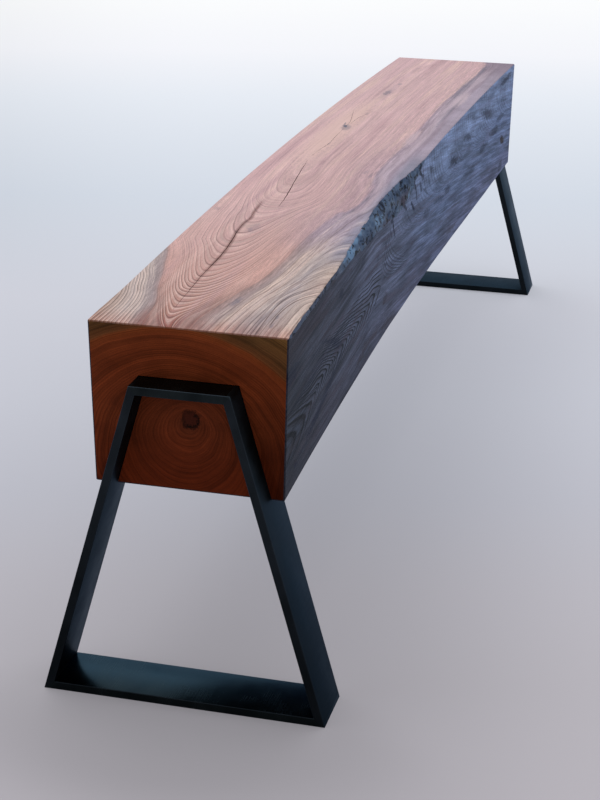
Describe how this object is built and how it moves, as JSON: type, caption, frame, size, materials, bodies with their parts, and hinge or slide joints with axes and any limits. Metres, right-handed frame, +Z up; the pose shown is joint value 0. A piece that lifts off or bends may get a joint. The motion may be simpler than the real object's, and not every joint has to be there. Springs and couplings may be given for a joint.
{
  "type": "bench",
  "caption": "Long backless bench: a squared solid timber beam with a live edge, let onto two trapezoid flat bar steel leg frames.",
  "frame": {"origin": "on the floor below the middle of the bench", "axes": "+X along the beam, +Z up; the front, with the live edge, faces -Y"},
  "size_m": [1.785, 0.34, 0.455],
  "materials": {
    "timber": "oiled, sawn and sanded, satin",
    "blackened_steel": "satin black",
    "ground_weld": "ground flush and blackened with the bars",
    "zinc_steel": "bright zinc"
  },
  "bodies": {
    "root": {"timber_beam": "timber", "left_front_leg": "blackened_steel", "left_top_bar": "blackened_steel", "left_back_leg": "blackened_steel", "left_foot_bar": "blackened_steel", "left_front_foot_weld": "ground_weld", "left_front_top_weld": "ground_weld", "left_back_top_weld": "ground_weld", "left_back_foot_weld": "ground_weld", "left_front_lag_screw": "zinc_steel", "left_front_washer": "zinc_steel", "left_back_lag_screw": "zinc_steel", "left_back_washer": "zinc_steel", "right_front_leg": "blackened_steel", "right_top_bar": "blackened_steel", "right_back_leg": "blackened_steel", "right_foot_bar": "blackened_steel", "right_front_foot_weld": "ground_weld", "right_front_top_weld": "ground_weld", "right_back_top_weld": "ground_weld", "right_back_foot_weld": "ground_weld", "right_front_lag_screw": "zinc_steel", "right_front_washer": "zinc_steel", "right_back_lag_screw": "zinc_steel", "right_back_washer": "zinc_steel"}
  },
  "joints": []
}
